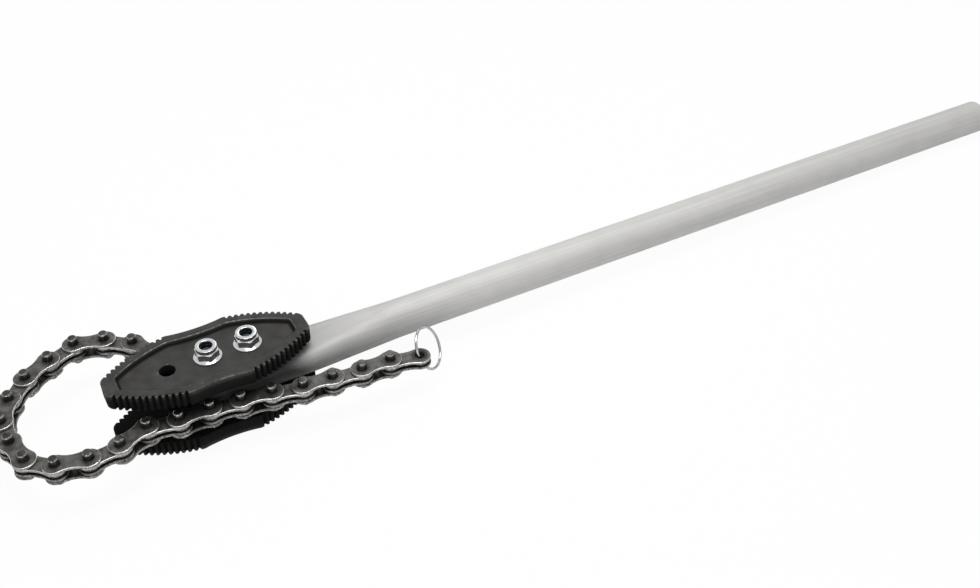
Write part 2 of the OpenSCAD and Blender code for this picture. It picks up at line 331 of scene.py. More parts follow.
def chainLook(name, c, shade, brightShare, polish=0):
    # shade makes the steel lighter or darker, and polish runs from 0 to 1
    look = Look(name)
    cloud, stain = look.noise(c["cloudSize"]), look.noise(c["stainSize"], 4)
    grain = look.noise(c["grainSize"], 2)
    edge = ((look.mark("wear") + (look.noise(c["chipSize"], 4) - 0.5) * 0.7 - 0.4) * 2.6).clamped()
    dark, plate = ([v * shade for v in c[k]] for k in ("dark", "plate"))
    skin = look.mix((cloud * 2.2 - 0.6).clamped(), dark, plate)
    skin = look.mix((stain * 4 - 2.3).clamped() * c["brownShare"], skin, c["brown"])
    # worn edges, partly a painted highlight
    skin = look.mix(edge * brightShare, skin, c["bright"])
    # painted shade between the plates, in the bushes, at the pins' feet and near the jaws, and darker round the
    # holes
    skin = look.mix(look.mark("soot") * c["sootShare"], skin, c["soot"])
    roughness = c["roughness"] - 0.16 * polish
    return look.finish({
        "Base Color": skin,
        "Metallic": 0.55 + 0.3 * polish + edge * (0.45 - 0.3 * polish),
        "Roughness": roughness + (cloud - 0.5) * 0.3 - edge * 0.14 + look.mark("soot") * 0.2,
        "Specular IOR Level": c["shine"],
        "Normal": look.bump(grain, c["relief"]),
    })


silverTube = {
    "base": (0.56, 0.555, 0.54),
    "pale": (0.635, 0.63, 0.615),
    "dull": (0.45, 0.445, 0.43),
    "soot": (0.004, 0.004, 0.004),
    "streakSize": 1.6, "streakStretch": (0.012, 1, 1),  # drawn out along the tube
    "bandSize": 9, "bandStretch": (0.03, 1, 1),
    "cloudSize": 22, "pitSize": 0.8,
    "streakShare": 0.45, "cloudShare": 0.3, "sootShare": 0.95,
    "metal": 0.14, "roughness": 0.56, "relief": 0.05,
}


def handleLook(c):
    look = Look("silver_tube")
    streak = look.noise(c["streakSize"], 4, c["streakStretch"])
    band = look.noise(c["bandSize"], 3, c["bandStretch"])
    cloud, pit = look.noise(c["cloudSize"], 4), look.noise(c["pitSize"], 2)
    skin = look.mix((band * 2 - 0.5).clamped(), c["base"], c["pale"])
    skin = look.mix((streak * 3 - 1.2).clamped() * c["streakShare"], skin, c["dull"])
    skin = look.mix((cloud * 3 - 1.35).clamped() * c["cloudShare"], skin, c["dull"])
    # painted shade on the tube, towards the jaws and underneath
    skin = look.mix(look.mark("soot") * c["sootShare"], skin, c["soot"])
    return look.finish({
        "Base Color": skin,
        "Metallic": c["metal"] - look.mark("soot") * c["metal"],
        "Roughness": c["roughness"] + (streak - 0.5) * 0.3 + (cloud - 0.5) * 0.15,
        "Normal": look.bump(streak * 0.7 + pit * 0.3, c["relief"]),
    })


brightZinc = {
    "base": (0.80, 0.81, 0.82),
    "dull": (0.52, 0.53, 0.54),
    "soot": (0.01, 0.012, 0.014),
    "cloudSize": 4, "grainSize": 0.6, "dullShare": 0.6,
    "roughness": 0.13, "relief": 0.02,
}


def zincLook(c):
    look = Look("bright_zinc")
    cloud, grain = look.noise(c["cloudSize"], 4), look.noise(c["grainSize"], 2)
    skin = look.mix((cloud * 2.5 - 0.9).clamped() * c["dullShare"], c["base"], c["dull"])
    return look.finish({
        # painted shade on the bolts' ends inside the nuts, and a duller ring
        "Base Color": look.mix(look.mark("soot"), skin, c["soot"]),
        "Metallic": 1.0,
        "Roughness": c["roughness"] + (cloud - 0.5) * 0.14,
        "Normal": look.bump(grain, c["relief"]),
    })


blueInsert = {"deep": (0.004, 0.01, 0.018), "light": (0.009, 0.023, 0.038), "cloudSize": 2, "roughness": 0.4}


def insertLook(c):
    look = Look("blue_insert")
    cloud = look.noise(c["cloudSize"])
    return look.finish({
        "Base Color": look.mix(cloud, c["deep"], c["light"]),
        "Roughness": c["roughness"] + (cloud - 0.5) * 0.2,
    })


looks = {
    "jaw": jawLook(forgedBlack),
    "chain_plate": chainLook("oiled_plate", oiledSteel, shade=1.0, brightShare=0.85),
    "chain_bush": chainLook("oiled_bush", oiledSteel, shade=1.5, brightShare=0.6, polish=0.5),
    "chain_pin": chainLook("oiled_pin", oiledSteel, shade=0.7, brightShare=0.85, polish=1),
    "handle": handleLook(silverTube),
    "zinc": zincLook(brightZinc),
    "insert": insertLook(blueInsert),
    "sleeve": chainLook("bare_sleeve", oiledSteel, shade=1.3, brightShare=0.6),
}
slotOf = {s["node"]: s["material_slot"] for s in frame["record"]["subparts"]}
for node, obj in frame["nodes"].items():
    obj.data.materials.clear()
    obj.data.materials.append(looks[slotOf[node]])
print("materials:", ", ".join(m.name for m in looks.values()))


# chain plates

plates = {
    "innerEnd": 9.3, "outerEnd": 9.8,  # radius of the round ends
    "waist": 7.2,  # half width between them
    "thick": 2.5,
    "innerHole": 11.04, "outerHole": 8.04,
    "edge": 0.5,  # radius of the rounded edges
    "holeEdge": 0.3,
    "lowerEdgeShade": 0.9,  # how bright the lower plates' worn edges are beside the upper ones, as painted shade
    "jawX": (0, 24, 45, 65, 80, 86, 90), "jawHalf": (35, 37.4, 31, 20, 11, 6, -30),  # the jaws' half width
    "faceGap": (8, 26), "edgeGap": (0, 8), "jawShade": (0.75, 0),  # how dark the painted shade is, at those distances from the jaws
    "edgeWearAndHighlight": (0.3, 0.8, 0.9, 0.8, 0.6, 0.52, 0.5, 0.5, 0.4, 0.1),  # worn edges, partly a painted highlight, from the top face to the bottom one
    "faceDarkening": ((0, 0.7), (0.3, 0.25), (0.65, 0)),  # darker round the hole: share of the way from hole to edge, and how dark there
    "backShade": 0.95, "backEdgeShade": 0.3,  # painted shade on the side that faces the other plates
    "wornFrom": 0.2,  # wear past which a point is on an edge
}


def plateSheets(end, hole, c, pitch):
    # each half is a closed section carried round its hole: hole wall, face, rounded edge, face;
    # the outline is the round end, then an arc that runs into the waist, then the plate's middle line
    half, waist, thick = pitch / 2, c["waist"], c["thick"]
    bend = (half**2 + waist**2 - end**2) / (2 * (end - waist))
    join = math.atan2(waist + bend, half)
    a = np.linspace(join, 2 * math.pi - join, 41)
    lobe = end * np.stack([np.cos(a), np.sin(a)], 1)
    lobeOut = lobe / end
    heart = np.array([half, -(waist + bend)])
    a = np.linspace(math.atan2(waist + bend, -half), math.pi / 2, 11)[1:]
    lower = heart + bend * np.stack([np.cos(a), np.sin(a)], 1)
    lowerOut = (heart - lower) / bend
    y = np.linspace(-1, 1, 9)[1:-1] * (waist - c["edge"])
    middle = np.stack([np.full_like(y, half), y], 1)
    flipY = np.array([1, -1])
    outline = np.concatenate([lobe, lower, middle, lower[::-1] * flipY])
    out = np.concatenate([lobeOut, lowerOut, np.zeros_like(middle), lowerOut[::-1] * flipY])
    onMiddle = np.isclose(outline[:, 0], half)
    ray = outline / np.linalg.norm(outline, axis=1, keepdims=True)
    e, h = c["edge"], c["holeEdge"]
    turn = np.radians([0, 22, 45, 68, 90])
    topEdge = [(e * (1 - math.sin(t)), thick - e * (1 - math.cos(t))) for t in turn]
    edges = topEdge + [(inset, thick - z) for inset, z in topEdge[::-1]]
    rows, wear, soot = [], [], []

    def add(xy, z, worn, black):
        rows.append(np.concatenate([xy, np.full((len(xy), 1), z)], 1))
        wear.append(worn)
        soot.append(black)

    def face(share):
        # from the rim of the hole towards the rounded edge
        return ray * (hole / 2 + h) * (1 - share) + (outline - e * out) * share

    # darker round the hole, and painted shade on the back, which faces the other plates
    for share, black in c["faceDarkening"]:
        add(face(share), thick, 0, black)
    for (inset, z), worn in zip(edges, c["edgeWearAndHighlight"]):
        add(outline - inset * out, z, worn, c["backEdgeShade"] if z == 0 else 0)
    for share, _ in reversed(c["faceDarkening"]):
        add(face(share), 0, 0, c["backShade"])
    for z in (h, thick - h):
        add(ray * hole / 2, z, 0, c["backShade"])
    grid = np.stack(rows, 1)
    marks = {"wear": np.array(wear), "soot": np.array(soot)}
    keep = np.ones(grid.shape[:2], bool)
    strip, firstEdge = onMiddle & np.roll(onMiddle, -1), len(c["faceDarkening"])
    keep[strip, firstEdge:firstEdge + len(edges) - 1] = False  # no wall where the two halves meet
    near = surface(grid, keep=keep, **marks)
    far = surface(grid * (-1, 1, 1) + (pitch, 0, 0), keep=keep, **marks)
    return [near, far]


def shadedByJaws(sheet, c):
    # painted shade where the chain runs between the jaws; the worn edges stay bright for longer than the faces
    points, quads, marks = sheet
    half = np.interp(np.abs(points[:, 0] - centreBoltX), c["jawX"], c["jawHalf"])
    gap = np.abs(points[:, 1]) - half
    face, edge = (np.interp(gap, c[k], c["jawShade"]) for k in ("faceGap", "edgeGap"))
    black = np.where(marks["wear"] > c["wornFrom"], edge, face)
    return points, quads, {**marks, "soot": np.maximum(marks["soot"], black)}


def linkLay(n):
    # where link n starts, and which way it points
    start, end = pinPlaces[n - 1], pinPlaces[n]
    way = end - start
    return start, math.atan2(way[1], way[0])


chainPitch = float(np.linalg.norm(pinPlaces[1] - pinPlaces[0]))
innerTop, outerTop = boxOf("link_01_plates")[1][2], boxOf("link_02_plates")[1][2]
innerSheets = plateSheets(plates["innerEnd"], plates["innerHole"], plates, chainPitch)
outerSheets = plateSheets(plates["outerEnd"], plates["outerHole"], plates, chainPitch)
for n in range(1, linkCount + 1):
    start, turn = linkLay(n)
    sheets, top = (innerSheets, innerTop) if n % 2 else (outerSheets, outerTop)
    lift = (0, 0, top - plates["thick"])
    raised = [(p + lift, f, m) for p, f, m in sheets]
    # the lower plates' worn edges are painted a little less bright than the upper ones', as painted shade
    below = [(p, f, {**m, "wear": m["wear"] * plates["lowerEdgeShade"]}) for p, f, m in raised]
    pair = [moved(s, turn, start) for s in raised] + [moved(s, turn, start, mirrorZ=True) for s in below]
    pair = [shadedByJaws(s, plates) for s in pair]
    node = f"link_{n:02d}_plates"
    makePiece(node + "_worn", pair, looks["chain_plate"], f"link_{n:02d}", [node])


# bushes and pins

bushes = {
    "bore": 8.16, "spigot": 11, "barrel": 15.2, "edge": 0.5,
    "wear": 0.35,
    "soot": (0.95, 0.5, 0),  # painted shade at the bore, the spigot and the barrel
}
pins = {
    "diameter": 8, "chamfer": 0.9, "edge": 0.35, "neck": 3, "stake": 0.45,
    "wearAt": (0, 0.3, 0.9, 2.5), "wear": (0.3, 0.75, 0.55, 0.1),  # worn, and partly a painted highlight, at those distances from the pin's end
    "sootAt": (0, 4), "soot": (0.9, 0),  # painted shade at those heights above the plate
}


def bushProfile(c, top, shoulder):
    # a stepped sleeve from its middle up: bore, end, spigot, shoulder and barrel; then the same below
    bore, spigot, barrel, e = c["bore"] / 2, c["spigot"] / 2, c["barrel"] / 2, c["edge"]
    corners = [(bore, 0), (bore, top), (spigot, top), (spigot, shoulder), (barrel, shoulder), (barrel, 0)]
    upper = rounded(corners, e)
    lower = upper[::-1][1:-1] * (1, -1)
    return np.concatenate([upper, lower])


def pinProfile(c, half, plateTop):
    # from the middle of one end to the middle of the other, with a staked ring at each plate
    r, ch, s = c["diameter"] / 2, c["chamfer"], c["stake"]
    end = rounded([(0, half), (r - ch, half), (r, half - ch), (r, half - c["neck"])], c["edge"])
    ring = [(r, plateTop + 2 * s), (r + 0.25 * s, plateTop + s), (r + s, plateTop + 0.2 * s),
            (r + s, plateTop - 0.1), (r, plateTop - 0.15)]
    upper = np.concatenate([end, np.array(ring)])
    return np.concatenate([upper, upper[::-1] * (1, -1)])


bushLine = bushProfile(bushes, innerTop, innerTop - plates["thick"])
bushRadii = [bushes[k] / 2 for k in ("bore", "spigot", "barrel")]
bushShade = np.interp(bushLine[:, 0], bushRadii, bushes["soot"])
pinHalf = boxOf("link_02_pins")[1][2]
pinLine = pinProfile(pins, pinHalf, outerTop)
# worn, with a painted highlight, at the chamfer, and painted shade at the plate
pinUp = np.abs(pinLine[:, 1])
pinWearAndHighlight = np.interp(pinHalf - pinUp, pins["wearAt"], pins["wear"])
pinShade = np.interp(pinUp - outerTop, pins["sootAt"], pins["soot"])
for n in range(1, linkCount + 1):
    ends = (pinPlaces[n - 1], pinPlaces[n])
    body = f"link_{n:02d}"
    if n % 2:
        sheets = [revolve(bushLine, 40, p, wear=bushes["wear"], soot=bushShade) for p in ends]
        makePiece(body + "_bushes_worn", sheets, looks["chain_bush"], body, [body + "_bushes"])
    else:
        sheets = [revolve(pinLine, 32, p, wear=pinWearAndHighlight, soot=pinShade) for p in ends]
        makePiece(body + "_pins_worn", sheets, looks["chain_pin"], body, [body + "_pins"])
print("chain:", linkCount, "links, pitch", round(chainPitch, 2))


# end ring

ring = {"radius": 18.5, "wire": 2.4, "turn": 46.5, "lean": 28, "drop": 10.7, "dull": 0.4}


def ringSheet(c):
    # the wire's circle carried round the ring's circle, in a plane that leans and hangs in the last eye
    u = np.linspace(0, 2 * math.pi, 120, endpoint=False)[:, None]
    v = np.linspace(0, 2 * math.pi, 20, endpoint=False)[None, :]
    across = c["radius"] + c["wire"] / 2 * np.cos(v)
    turn, lean, drop = (math.radians(c[k]) for k in ("turn", "lean", "drop"))
    x = across * np.cos(u) + c["radius"] * math.cos(drop)
    z = across * np.sin(u) - c["radius"] * math.sin(drop)
    y = np.broadcast_to(-c["wire"] / 2 * np.sin(v), x.shape)
    y, z = y * math.cos(lean) + z * math.sin(lean), z * math.cos(lean) - y * math.sin(lean)
    return moved(surface(np.stack([x, y, z], -1), soot=c["dull"]), turn, pinPlaces[-1])


makePiece("end_ring_wire", [ringSheet(ring)], looks["zinc"], "ring", ["end_ring"])


# jaws

jaw = {
    "length": 171.5, "holePitch": 34, "hole": 13, "hub": 20,
    "hornHalf": 37.4, "hornX": 24, "waistHalf": 35,
    "edgeRadius": 130, "noseRadius": 7, "noseHalf": 6,
    "teeth": 12, "toothDepth": 2.6, "crest": 1.5, "land": 3,
    "rim": 8.5, "noseRim": 11.5,
    "panelDepth": 4, "draft": 1.1,
    "rimRound": 1.3, "toothRound": 0.5, "lip": 1.0, "fillet": 1.5, "hubFillet": 1.5, "holeEdge": 0.6,
    "inner": 18.5,  # height of the face between the jaws
    "innerShade": 0.95,  # how dark the painted shade on that face is
    "footShadeWide": 1.4, "footShade": 0.7, "wallShade": 0.9,  # painted shade along the foot of the panel's wall and on the wall
    # the wear on the lip and the outer edge is partly a painted highlight
    "lipWearAndHighlight": (0.25, 0.6), "rimWear": 0.36,
    # painted shade on the side walls
    "edgeWearAndHighlight": 0.3, "crestWear": 0.45, "sideWear": 0.1, "sideShade": 0.8,
}
# share of a notch's width, and of its depth there
notchForm = ((0, 0), (0.05, 0.06), (0.2, 0.42), (0.38, 0.86), (0.5, 1),
             (0.62, 0.86), (0.8, 0.42), (0.95, 0.06), (1, 0))


def smoothed(values, times):
    # each value mixed with its two neighbours round the outline
    for _ in range(times):
        values = (np.roll(values, 1, 0) + 2 * values + np.roll(values, -1, 0)) / 4
    return values


def between(p, q, share):
    # the point that lies that share of the way from p to q
    return p * (1 - share) + q * share


def jawColumns(c):
    # a quarter of the outline, from the middle of the waist to the tip of the nose: the edge without its
    # teeth, its outward direction, the depth of the notch there, whether it is toothed, and the panel's edge
    sag = c["hornHalf"] - c["waistHalf"]
    waistR = (c["hornX"] ** 2 + sag**2) / (2 * sag)
    waistY = c["waistHalf"] + waistR
    arc, rim, tip = c["edgeRadius"], c["rim"], c["length"] / 2
    # the toothed arc goes through the horn and touches the nose's corner
    horn = np.array([c["hornX"], c["hornHalf"]])
    corner = np.array([tip - c["noseRadius"], c["noseHalf"]])
    span = np.linalg.norm(corner - horn)
    way = (corner - horn) / span
    foot = (arc**2 - (arc - c["noseRadius"]) ** 2 + span**2) / (2 * span)
    heart = horn + foot * way + math.sqrt(arc**2 - foot**2) * np.array([way[1], -way[0]])

    def fromHeart(p):
        # angle of a point about the arc's centre, from +Y towards +X
        return math.atan2(p[0] - heart[0], p[1] - heart[1])

    # where the panel's waist meets its long arcs
    gap = heart - (0, waistY)
    apart = np.linalg.norm(gap)
    along = (apart**2 + (waistR + rim) ** 2 - (arc - rim) ** 2) / (2 * apart)
    across = math.sqrt((waistR + rim) ** 2 - along**2)
    panelHorn = np.array([0, waistY]) + (along * gap + across * np.array([-gap[1], gap[0]])) / apart

    t = np.array([0, 0.2, 0.4, 0.55, 0.7, 0.8, 0.9, 0.97]) * math.asin(c["hornX"] / waistR)
    tIn = t * math.asin(panelHorn[0] / (waistR + rim)) / math.asin(c["hornX"] / waistR)
    waist = np.stack([waistR * np.sin(t), waistY - waistR * np.cos(t)], 1)
    waistOut = np.stack([-np.sin(t), np.cos(t)], 1)
    waistIn = np.stack([(waistR + rim) * np.sin(tIn), waistY - (waistR + rim) * np.cos(tIn)], 1)

    hornA, noseA = fromHeart(horn), fromHeart(corner)
    firstA = hornA + c["land"] / arc
    toothA = (noseA - firstA) / c["teeth"]
    notchA = toothA - c["crest"] / arc
    share, depth = np.array(notchForm).T
    a = (firstA + toothA * np.arange(c["teeth"])[:, None] + notchA * share[None, :]).ravel()
    a = np.concatenate([[hornA + 0.2 * (firstA - hornA), hornA + 0.6 * (firstA - hornA)], a])
    depth = np.concatenate([[0, 0], np.tile(depth, c["teeth"])]) * c["toothDepth"]
    toothed = np.concatenate([[0, 0.5], np.ones(len(a) - 2)])
    out = np.stack([np.sin(a), np.cos(a)], 1)
    edge = heart + arc * out
    endX = tip - c["noseRim"]
    aIn = np.interp(a, [hornA, noseA], [fromHeart(panelHorn), math.asin((endX - heart[0]) / (arc - rim))])
    edgeIn = heart + (arc - rim) * np.stack([np.sin(aIn), np.cos(aIn)], 1)

    b = np.linspace(math.pi / 2 - noseA, 0, 8)[1:]
    noseOut = np.stack([np.cos(b), np.sin(b)], 1)
    nose = corner + c["noseRadius"] * noseOut
    nose = np.concatenate([nose, [[tip, c["noseHalf"] / 2], [tip, 0]]])
    noseOut = np.concatenate([noseOut, [[1, 0], [1, 0]]])
    noseIn = np.stack([np.full(len(nose), endX), np.linspace(edgeIn[-1, 1], 0, len(nose) + 1)[1:]], 1)

    def whole(q):
        # the quarter and its three mirrored copies, one after the other round the jaw
        q = np.asarray(q, float)
        if q.ndim == 1:
            return np.concatenate([q, q[-2::-1], q[1:], q[-2:0:-1]])
        return np.concatenate([q, q[-2::-1] * (1, -1), q[1:] * (-1, -1), q[-2:0:-1] * (-1, 1)])

    edgeAll = whole(np.concatenate([waist, edge, nose]))
    outAll = whole(np.concatenate([waistOut, out, noseOut]))
    panelAll = whole(np.concatenate([waistIn, edgeIn, noseIn]))
    depthAll = whole(np.concatenate([np.zeros(len(waist)), depth, np.zeros(len(nose))]))
    toothedAll = whole(np.concatenate([np.zeros(len(waist)), toothed, np.zeros(len(nose))]))
    return edgeAll, outAll, depthAll, toothedAll, smoothed(panelAll, 5)


def jawSheets(c, top, hubEnd):
    # three rings side by side, each a closed section carried round one bolt hole: bore, panel floor, panel
    # wall, rim, toothed edge, inner face and hub; where two rings meet there is only floor and inner face
    edge, out, depth, toothed, panel = jawColumns(c)
    inner, floor = c["inner"], top - c["panelDepth"]
    inward = np.roll(panel, 1, 0) - np.roll(panel, -1, 0)
    inward = np.stack([-inward[:, 1], inward[:, 0]], 1)
    inward /= np.linalg.norm(inward, axis=1, keepdims=True)
    inward *= np.sign(-np.sum(inward * panel, 1, keepdims=True))
    count = len(edge)
    soften = smoothed(np.where(toothed > 0, c["toothRound"], c["rimRound"]), 4)
    rows, wear, soot = [], [], []

    def add(xy, z, worn=0, black=0):
        rows.append(np.concatenate([xy, np.broadcast_to(np.reshape(z, (-1, 1)), (count, 1))], 1))
        wear.append(np.broadcast_to(worn, count))
        soot.append(np.broadcast_to(black, count))

    depthShare = depth / c["toothDepth"]
    # painted shade in the notches, darker where they are deeper
    deep = np.minimum(depthShare * 2.2, 1)
    wallTop, reach = c["draft"] * 0.5, c["draft"] * 1.4
    foot = wallTop + reach
    # painted shade along the foot of the panel's wall and up the wall
    add(panel + inward * (foot + c["footShadeWide"]), floor)
    add(panel + inward * foot, floor, 0, c["footShade"])
    for t in np.radians([30, 60, 80]):  # fillet at the foot of the panel's wall, then the wall
        up = c["fillet"] * (1 - math.cos(t))
        add(panel + inward * (wallTop + reach * (1 - math.sin(t))), floor + up, 0, c["wallShade"])
    # the rounded lip's wear is partly a painted highlight
    lip, (lipWearAndHighlight, lipGain) = c["lip"], c["lipWearAndHighlight"]
    for t in np.radians([0, 30, 60, 90]):  # rounded lip
        down = lip * (1 - math.sin(t))
        add(panel - inward * lip * (1 - math.cos(t)), top - down, lipWearAndHighlight + lipGain * math.sin(2 * t))
    tooth = edge - out * depth[:, None]
    add(panel * 0.6 + (edge - out * (depth + soften)[:, None]) * 0.4 - inward * lip * 0.4, top, c["rimWear"])
    edgeWearAndHighlight = c["edgeWearAndHighlight"]
    for t in np.radians([0, 22, 45, 68, 90]):  # rounded outer edge, worn and partly a painted highlight, with painted shade in the notches
        add(tooth - out * (soften * (1 - math.sin(t)))[:, None], top - soften * (1 - math.cos(t)),
            edgeWearAndHighlight * (1 + (1 + toothed) * math.sin(2 * t) * (1 - depthShare)), deep * math.sin(t))
    crestWear = np.where(toothed > 0.9, c["crestWear"] * (1 - depthShare), c["sideWear"])
    # side walls in painted shade, blackest in the notches
    for share in (0.3, 0.6):
        wallZ = top - soften - (top - inner - 2 * soften) * share
        add(tooth, wallZ, crestWear, np.maximum(deep, between(c["sideShade"], 1, share)))
    for t in np.radians([90, 60, 30, 0]):  # rounded inner edge, in painted shade
        add(tooth - out * (soften * (1 - math.sin(t)))[:, None], inner + soften * (1 - math.cos(t)),
            0.2 * math.sin(2 * t) * (1 - depthShare), np.maximum(deep * math.sin(t), c["innerShade"]))
    add(edge - out * (c["toothDepth"] + 2.5), inner, 0, c["innerShade"])  # clear of the teeth, in painted shade
    wall = np.stack(rows, 1)
    wallWear, wallShade = np.stack(wear, 1), np.stack(soot, 1)

    # split the columns between the three holes, half way between them
    x = panel[:, 0]
    topSide = np.arange(count)[panel[:, 1] > 0]
    bottomSide = np.arange(count)[panel[:, 1] < 0]

    def nearest(side, value):
        return side[np.argmin(np.abs(x[side] - value))]

    def span(a, b):
        return np.arange(a, b + 1 if b >= a else b + count + 1) % count

    split = c["holePitch"] / 2
    tr, tl = nearest(topSide, split), nearest(topSide, -split)
    br, bl = nearest(bottomSide, split), nearest(bottomSide, -split)
    runs = {1: [span(tr, br)], 0: [span(tl, tr), span(br, bl)], -1: [span(bl, tl)]}

    hole, hub, ch = c["hole"] / 2, c["hub"] / 2, c["holeEdge"]
    sheets = []
    for k, arcs in runs.items():
        centre = np.array([k * c["holePitch"], 0])
        parts, meeting = [], []
        for run, following in zip(arcs, arcs[1:] + arcs[:1]):
            parts.append((wall[run], wallWear[run], wallShade[run]))
            a, b = wall[run[-1]], wall[following[0]]
            t = np.linspace(0, 1, 12)[1:-1, None]
            bridge = np.repeat(between(a[0], b[0], t)[:, None], wall.shape[1], 1)
            bridge[:, -1] = between(a[-1], b[-1], t)
            parts.append((bridge, np.zeros(bridge.shape[:2]), np.zeros(bridge.shape[:2])))
            meeting += [False] * (len(run) - 1) + [True] * (len(bridge) + 1)
        body, worn, black = (np.concatenate(p) for p in zip(*parts))
        ray = body[:, 0, :2] - centre
        ray /= np.linalg.norm(ray, axis=1, keepdims=True)

        def circle(r, z):
            return np.concatenate([centre + ray * r, np.full((len(ray), 1), z)], 1)

        f, f3 = c["hubFillet"], c["hubFillet"] * 0.3
        inRing, hubRing = circle(hole + ch, floor), circle(hub + f, inner)
        before = [circle(hole, floor - ch), inRing]
        before += [between(inRing, body[:, 0], s) for s in (0.25, 0.5, 0.75)]
        after = [between(body[:, -1], hubRing, s) for s in (0.4, 0.8)] + [hubRing]
        after += [circle(hub + f3, inner - f3), circle(hub, inner - f), circle(hub, hubEnd + ch),
                  circle(hub - ch, hubEnd), circle(hole + ch, hubEnd), circle(hole, hubEnd + ch)]
        grid = np.concatenate([np.stack(before, 1), body, np.stack(after, 1)], 1)

        def filled(first, middle, last):
            return np.concatenate([first, middle, np.full((len(ray), len(after)), last)], 1)

        # painted shade in the bore, on the hub and on the face between the jaws
        holeWear = np.zeros((len(ray), len(before)))
        holeWear[:, 1] = 0.5
        holeShade = np.zeros_like(holeWear)
        holeShade[:, 0] = 1
        keep = np.ones(grid.shape[:2], bool)
        keep[np.array(meeting), len(before):len(before) + wall.shape[1] - 1] = False
        marks = {"wear": filled(holeWear, worn, 0), "soot": filled(holeShade, black, c["innerShade"])}
        sheets.append(surface(grid, keep=keep, **marks))
    return sheets


upperLow, upperHigh = boxOf("upper_jaw")
jawTop, hubEnd = upperHigh[2], upperLow[2]
for node, mirrorZ in (("upper_jaw", False), ("lower_jaw", True)):
    sheets = [moved(s, 0, (centreBoltX, 0, 0), mirrorZ) for s in jawSheets(jaw, jawTop, hubEnd)]
    makePiece(node + "_forging", sheets, looks["jaw"], "head_and_handle", [node], sharp=50)
print("jaws: top at", round(float(jawTop), 2))


# handle

handle = {
    "tube": 33.7, "wall": 3.25,
    "flatThick": 22, "flatWide": 47,
    "flatEnd": 118, "roundFrom": 199,  # stations from the free bolt hole
    "tongueFront": 16, "tongueRound": 24,
    "ease": 0.05, "slack": 0.004,  # how softly the squeezed length starts and ends
    "endRound": 0.7,
    "sootAt": (80, 116, 150, 280), "soot": (1.7, 0.62, 0.48, 0),  # how dark the painted shade on the tube is at those stations
    "sootTilt": 0.65,  # how much less painted shade on top, and more underneath
    "boltHole": 13,
}


def handleSheet(c):
    # two half rounds joined by flats, carried along the tube; the half rounds grow and the flats close
    # in step between the squeezed end and the round length
    x0, x1, x2 = centreBoltX - c["tongueFront"], c["flatEnd"], c["roundFrom"]
    x3 = boxOf("handle_tube")[1][0]
    # closest together along the flare
    spans = ((x0, x1 - 8, 16), (x1 - 7, x2 + 8, 60), (x2 + 20, x3 - 2, 60))
    stations = np.concatenate([np.linspace(*span) for span in spans])
    phi = np.radians(np.linspace(-90, 90, 33))
    across = np.linspace(1, -1, 9)[1:-1]
    oneR, oneF, noF = np.ones_like(phi), np.ones_like(across), np.zeros_like(across)
    side = np.concatenate([oneR, across, -oneR, -across])
    cosA = np.concatenate([np.cos(phi), noF, -np.cos(phi), noF])
    sinA = np.concatenate([np.sin(phi), oneF, np.sin(phi)[::-1], -oneF])

    def skin(x, inset):
        u = (x - x1) / (x2 - x1)
        ramp = 0.5 * (np.sqrt(u**2 + c["ease"] ** 2) - np.sqrt((u - 1) ** 2 + c["ease"] ** 2) + 1)
        ramp = np.clip((ramp - c["slack"]) / (1 - 2 * c["slack"]), 0, 1)
        flat = (c["flatWide"] - c["flatThick"]) / 2 * (1 - ramp)
        r = (c["flatThick"] + (c["tube"] - c["flatThick"]) * ramp) / 2 - inset
        y = side[:, None] * flat + r * cosA[:, None]
        z = r * sinA[:, None]
        ahead = np.sqrt(np.maximum(c["tongueRound"] ** 2 - y**2, 0))  # the tongue's rounded front
        front = centreBoltX - np.minimum(c["tongueFront"], ahead)
        return np.stack([np.maximum(np.broadcast_to(x, y.shape), front), y, z], -1)

    e = c["endRound"]
    t = np.radians([0, 30, 60, 90])
    outer = skin(stations, 0)
    endX, inset = x3 - e * (1 - np.sin(t)), e * (1 - np.cos(t))
    outEnd = np.concatenate([skin(endX[k:k + 1], inset[k]) for k in range(len(t))], 1)
    inEnd = np.concatenate([skin(endX[k:k + 1], c["wall"] - inset[k]) for k in reversed(range(len(t)))], 1)
    inner = skin(stations[::-1], c["wall"])
    grid = np.concatenate([outer, outEnd, inEnd, inner], 1)
    # painted shade: darker towards the jaws, and darker underneath than on top
    up = grid[:, :, 2] / (c["tube"] / 2)
    soot = np.interp(grid[:, :, 0], c["sootAt"], c["soot"]) * (1 - c["sootTilt"] * up)
    return surface(grid, soot=np.minimum(soot, 1))


def cutHoles(obj, places, r, half):
    # round holes through the piece, and the result kept as its mesh
    line = [(0, -half), (r, -half), (r, half), (0, half)]
    for place in places:
        points, quads, _ = revolve(line, 48, place)
        mesh = bpy.data.meshes.new("cutter")
        mesh.from_pydata((points * mm).tolist(), [], quads.tolist())
        closeSeams(mesh)
        cutter = bpy.data.objects.new("cutter", mesh)
        scene.collection.objects.link(cutter)
        modifier = obj.modifiers.new("hole", "BOOLEAN")
        modifier.operation, modifier.solver, modifier.object = "DIFFERENCE", "EXACT", cutter
        bpy.context.view_layer.update()
        old = obj.data
        obj.data = bpy.data.meshes.new_from_object(obj.evaluated_get(bpy.context.evaluated_depsgraph_get()))
        obj.data.name = old.name + "_cut"
        obj.modifiers.clear()
        bpy.data.objects.remove(cutter)


rearBoltX = float(np.mean([b[0] for b in boxOf("rear_bolt")]))
boltPlaces = [(centreBoltX, 0, 0), (rearBoltX, 0, 0)]
tube = makePiece("handle_tube_drawn", [handleSheet(handle)], looks["handle"], "head_and_handle",
                 ["handle_tube"], sharp=30)
cutHoles(tube, boltPlaces, handle["boltHole"] / 2, handle["flatThick"])
print("handle:", len(tube.data.polygons), "faces")


# bolts, nuts and their inserts

